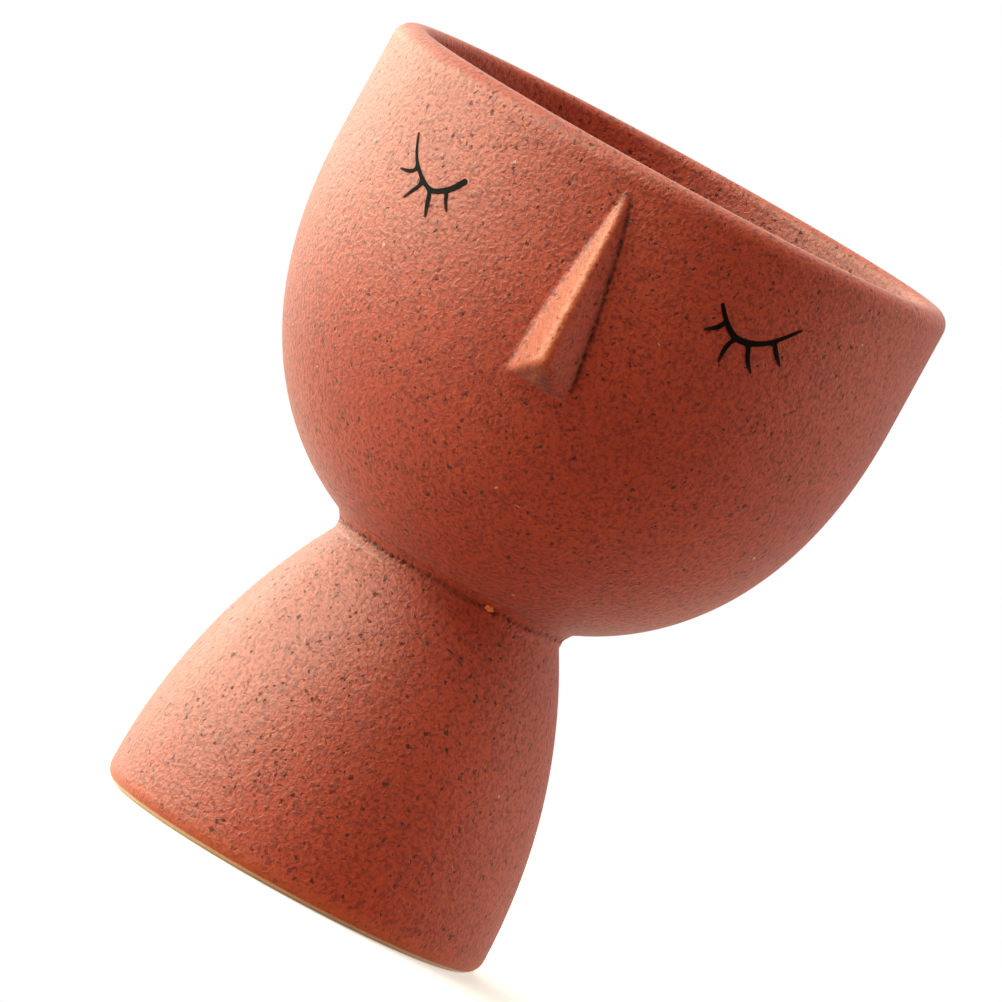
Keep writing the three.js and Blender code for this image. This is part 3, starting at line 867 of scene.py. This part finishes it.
def brush_eye(eye, sizes):
    """Draws a closed eye flat, the lid as a strip and each lash extruded from its edge, and lays it on the wall."""
    corner = (math.radians(eye["azimuth"]) * sizes.bowl_radius, sizes.bowl_height - eye["drop"] * MM)
    lid = stroke_rows(eye["lid"], LID_STEPS, 0)
    left, right = lid[0]
    piece = start_point(eye["node"] + "_brushed", on_sheet(corner, left))
    step = (right - left) * MM
    bpy.ops.mesh.extrude_region_move(TRANSFORM_OT_translate={"value": (step.x, 0, step.y)})
    bpy.ops.mesh.select_all(action="SELECT")
    extrude_stroke(piece, lid[1:], corner)
    for lash in eye["lashes"]:
        start, bend = (on_sheet(corner, point) for point in lash[0][:2])
        root = start + (bend - start).normalized() * LASH_ROOT
        bpy.ops.mesh.select_all(action="DESELECT")
        mesh = bmesh.from_edit_mesh(piece.data)
        free = [e for e in mesh.edges if e.is_boundary]
        nearest = min(free, key=lambda e: ((e.verts[0].co + e.verts[1].co) / 2 - root).length)
        nearest.select_set(True)
        bmesh.update_edit_mesh(piece.data)
        extrude_stroke(piece, stroke_rows(lash, LASH_STEPS, LASH_START), corner)
    close_drawing(0.01 * MM)
    rounding = piece.modifiers.new("Rounding", "SUBSURF")
    rounding.levels = rounding.render_levels = 2
    finish_modifiers(piece)
    if sum(face.normal.y * face.area for face in piece.data.polygons) > 0:
        bpy.ops.object.mode_set(mode="EDIT")
        bpy.ops.mesh.select_all(action="SELECT")
        bpy.ops.mesh.flip_normals()
        bpy.ops.object.mode_set(mode="OBJECT")
    ends = [points[-1] for points, _ in eye["lashes"]] + [eye["lid"][0][eye["outer"]]]
    ends = [on_sheet(corner, point) for point in ends]
    tip = piece.data.attributes.new("tip", "FLOAT", "POINT")
    for vertex in piece.data.vertices:
        away = min((vertex.co - end).length for end in ends)
        tip.data[vertex.index].value = max(0, 1 - away / THIN_END)
    film = piece.modifiers.new("Film", "SOLIDIFY")
    film.thickness = sizes.paint
    film.offset = 1.0
    lay_on_bowl(piece, sizes)
    finish_modifiers(piece)
    bpy.ops.object.shade_smooth_by_angle(angle=SMOOTH_BELOW)
    return piece


class PLANTER_OT_eyes(Operator):
    """Brush the two closed eyes on to the wall, each a lid line with four lashes"""
    bl_idname = "planter.eyes"
    bl_label = "Eyes"

    def execute(self, context):
        for eye in (LEFT_EYE, RIGHT_EYE):
            piece = brush_eye(eye, context.scene.planter_sizes)
            hand_over(piece, "planter", [eye["node"]], brushed_black(context.scene.planter_colours))
        return {"FINISHED"}


class PLANTER_OT_stopper(Operator):
    """Mould the soft stopper: tapered stem, flange on the bowl's floor and a round pull knob"""
    bl_idname = "planter.stopper"
    bl_label = "Stopper"

    def execute(self, context):
        sizes = context.scene.planter_sizes
        low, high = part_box("drain_plug")
        ground = BOWL_BASE + sizes.floor
        play, taper = 0.3 * MM, 0.8 * MM
        stem = sizes.drain_radius - play
        flange = (high[0] - low[0]) / 2
        thick = 2.4 * MM
        neck, knob = 3 * MM, 4.6 * MM
        fillet = 0.9 * MM
        knob_low = math.degrees(math.acos(neck / knob))
        knob_height = high[2] - knob
        stem_end = stem - taper
        soft, root = 0.7 * MM, 0.1 * MM
        pole = 88  # degrees, where the knob's arc ends just short of the axis
        profile = [
            (0, low[2]),
            *arc((stem_end - soft, low[2] + soft), soft, -90, 0, 4),
            (stem, ground - root / 2),
            (stem + root, ground),
            *arc((flange - thick / 2, ground + thick / 2), thick / 2, -90, 90, 8),
            *arc((neck + fillet, ground + thick + fillet), fillet, 270, 180, 5),
            *arc((0, knob_height), knob, -knob_low, pole, 16),
            (0, high[2]),
        ]
        piece = turned("drain_plug_moulded", profile, 64)
        hand_over(piece, "stopper", ["drain_plug"], moulded_silicone(context.scene.planter_colours))
        return {"FINISHED"}


# Studio

# The lamps are a little green, against the warm light that the room and the clay throw back.
LAMP_LIGHT = linear("F3FFE7")
GLOSS_LIGHT = linear("EDFFE1")
ROOM_LIGHT = rgba(linear("FFDFC5"))
POT_MIDDLE = 0.085

# Name, degrees to the right of the face, in metres the way from the axis, the height and the width, and the
# power's name. Gloss lamps give the lit side a broad pale gloss without lighting the clay more.
LAMPS = (
    ("key_left", -74, 1.15, 0.45, 0.7, "key"),
    ("low_left", -78, 1.15, 0.12, 0.5, "low"),
    ("window_back_left", -121, 1.15, 0.18, 0.5, "window"),
    ("far_back_left", -144, 1.15, 0.4, 0.6, "back"),
    ("top_behind", -162, 0.65, 1.35, 0.6, "top"),
    ("high_front_left", -54, 0.85, 1.0, 0.7, "front"),
    ("rim_right", 108, 1.3, 0.3, 0.8, "rim"),
    ("gloss_left", -74, 1.15, 0.45, 0.7, "gloss"),
    ("gloss_low_left", -78, 1.15, 0.12, 0.5, "gloss_low"),
    ("gloss_back_left", -121, 1.15, 0.18, 0.5, "gloss_back"),
    ("gloss_front_left", -54, 0.85, 1.0, 0.7, "gloss_front"),
)

# Metres over which the board turns white, and throws back more light on the lit side and near the foot.
FLOOR_RADIUS = 4
FADE_FROM, FADE_TO = 0.16, 0.42
LIT_FROM, LIT_TO = 0.05, -0.12
NEAR_FROM, NEAR_TO = 0.12, 0.07


def soft_lamp(name, azimuth, away, height, size, watts, gloss_only):
    """A square lamp that looks at the middle of the pot."""
    place = beside(math.radians(azimuth), away, height)
    bpy.ops.object.light_add(type="AREA", location=place)
    lamp = bpy.context.object
    lamp.name = name
    lamp.data.size = size
    lamp.data.energy = watts
    lamp.data.color = GLOSS_LIGHT if gloss_only else LAMP_LIGHT
    lamp.rotation_euler = (Vector((0, AXIS_Y, POT_MIDDLE)) - place).to_track_quat("-Z", "Y").to_euler()
    lamp.visible_camera = False
    lamp.visible_diffuse = not gloss_only


def shows_white(tree):
    """Full for camera, mirrored and refracted rays, which all see the white backdrop."""
    rays = add(tree, "LightPath", {}).outputs
    mirrored = calc(tree, "MAXIMUM", rays["Is Glossy Ray"], rays["Is Transmission Ray"])
    return calc(tree, "MAXIMUM", rays["Is Camera Ray"], mirrored)


def studio_floor(colours):
    """Matte painted board that fades to plain white away from the object, and keeps its soft shadow near it."""
    material, tree, where = new_material("studio_board_matte")
    if tree:
        away = add(tree, "VectorMath", {0: where}, operation="LENGTH").outputs["Value"]
        fade = ramp(tree, away, FADE_FROM, FADE_TO, ease=EASED)
        board = add(tree, "BsdfDiffuse", {"Color": rgba(colours.table)})
        glow = add(tree, "Emission", {"Color": WHITE, "Strength": 0.45})
        lifted = add(tree, "AddShader", {0: board.outputs[0], 1: glow.outputs[0]})
        white = add(tree, "Emission", {"Color": WHITE, "Strength": 1.0})
        shown = add(tree, "MixShader", {0: fade, 1: lifted.outputs[0], 2: white.outputs[0]})
        across = add(tree, "SeparateXYZ", {"Vector": where}).outputs["X"]
        side = ramp(tree, across, LIT_FROM, LIT_TO, end=0.6)
        near = ramp(tree, away, NEAR_FROM, NEAR_TO, end=0.8)
        lit = calc(tree, "MAXIMUM", side, near)
        bounce = blend(tree, lit, rgba(colours.table_dim), rgba(colours.table_lit))
        dim = add(tree, "BsdfDiffuse", {"Color": bounce})
        floor = add(tree, "MixShader", {0: shows_white(tree), 1: dim.outputs[0], 2: shown.outputs[0]})
        add(tree, "OutputMaterial", {"Surface": floor.outputs[0]})
    return material


class PLANTER_OT_stage(Operator):
    """Set up the pale floor, the soft lamps, the white surroundings and the camera"""
    bl_idname = "planter.stage"
    bl_label = "Stage"

    def execute(self, context):
        studio = context.scene.planter_studio
        bpy.ops.mesh.primitive_circle_add(vertices=128, radius=FLOOR_RADIUS, fill_type="NGON", location=(0, 0, 0))
        floor = context.object
        floor.name = "studio_floor"
        floor.data.materials.append(studio_floor(context.scene.planter_colours))
        for name, azimuth, away, height, size, power in LAMPS:
            soft_lamp(name, azimuth, away, height, size, getattr(studio, power), power.startswith("gloss"))
        world = bpy.data.worlds.new("white_room")
        context.scene.world = world
        world.use_nodes = True
        tree = world.node_tree
        tree.nodes.clear()
        room = add(tree, "Background", {"Color": ROOM_LIGHT, "Strength": studio.ambient})
        white = add(tree, "Background", {"Color": WHITE, "Strength": 1.0})
        shown = add(tree, "MixShader", {0: shows_white(tree), 1: room.outputs[0], 2: white.outputs[0]})
        add(tree, "OutputWorld", {"Surface": shown.outputs[0]})
        place = beside(studio.azimuth, studio.distance, studio.height)
        aim = beside(studio.azimuth + math.pi / 2, studio.aim_right, studio.aim_height)
        bpy.ops.object.camera_add(location=place)
        camera = context.object
        camera.name = "camera_front"
        camera.data.lens = studio.lens
        camera.rotation_mode = "QUATERNION"
        level = (aim - place).to_track_quat("-Z", "Y")
        camera.rotation_quaternion = level @ Quaternion((0, 0, 1), studio.roll)
        context.scene.camera = camera
        context.scene.view_settings.view_transform = "Standard"
        return {"FINISHED"}


OPERATORS = (PLANTER_OT_bowl, PLANTER_OT_pedestal, PLANTER_OT_neck, PLANTER_OT_nose, PLANTER_OT_eyes,
             PLANTER_OT_stopper, PLANTER_OT_stage)


class PLANTER_PT_sidebar(Panel):
    """Sizes, colours, studio and the steps that build the planter"""
    bl_label = "Face Planter"
    bl_space_type = "VIEW_3D"
    bl_region_type = "UI"
    bl_category = "Planter"

    def draw(self, context):
        for operator in OPERATORS:
            self.layout.operator(operator.bl_idname)
        for group in (context.scene.planter_sizes, context.scene.planter_colours, context.scene.planter_studio):
            box = self.layout.box()
            for name in group.bl_rna.properties.keys():
                if name not in ("rna_type", "name"):
                    box.prop(group, name)


CLASSES = (PlanterSizes, PlanterColours, PlanterStudio, *OPERATORS, PLANTER_PT_sidebar)


def register():
    for cls in CLASSES:
        bpy.utils.register_class(cls)
    bpy.types.Scene.planter_sizes = PointerProperty(type=PlanterSizes)
    bpy.types.Scene.planter_colours = PointerProperty(type=PlanterColours)
    bpy.types.Scene.planter_studio = PointerProperty(type=PlanterStudio)


def unregister():
    del bpy.types.Scene.planter_studio
    del bpy.types.Scene.planter_colours
    del bpy.types.Scene.planter_sizes
    for cls in reversed(CLASSES):
        bpy.utils.unregister_class(cls)


def main():
    register()
    bpy.ops.planter.bowl()
    bpy.ops.planter.pedestal()
    bpy.ops.planter.neck()
    bpy.ops.planter.nose()
    bpy.ops.planter.eyes()
    bpy.ops.planter.stopper()
    bpy.ops.planter.stage()


if __name__ == "__main__":
    main()
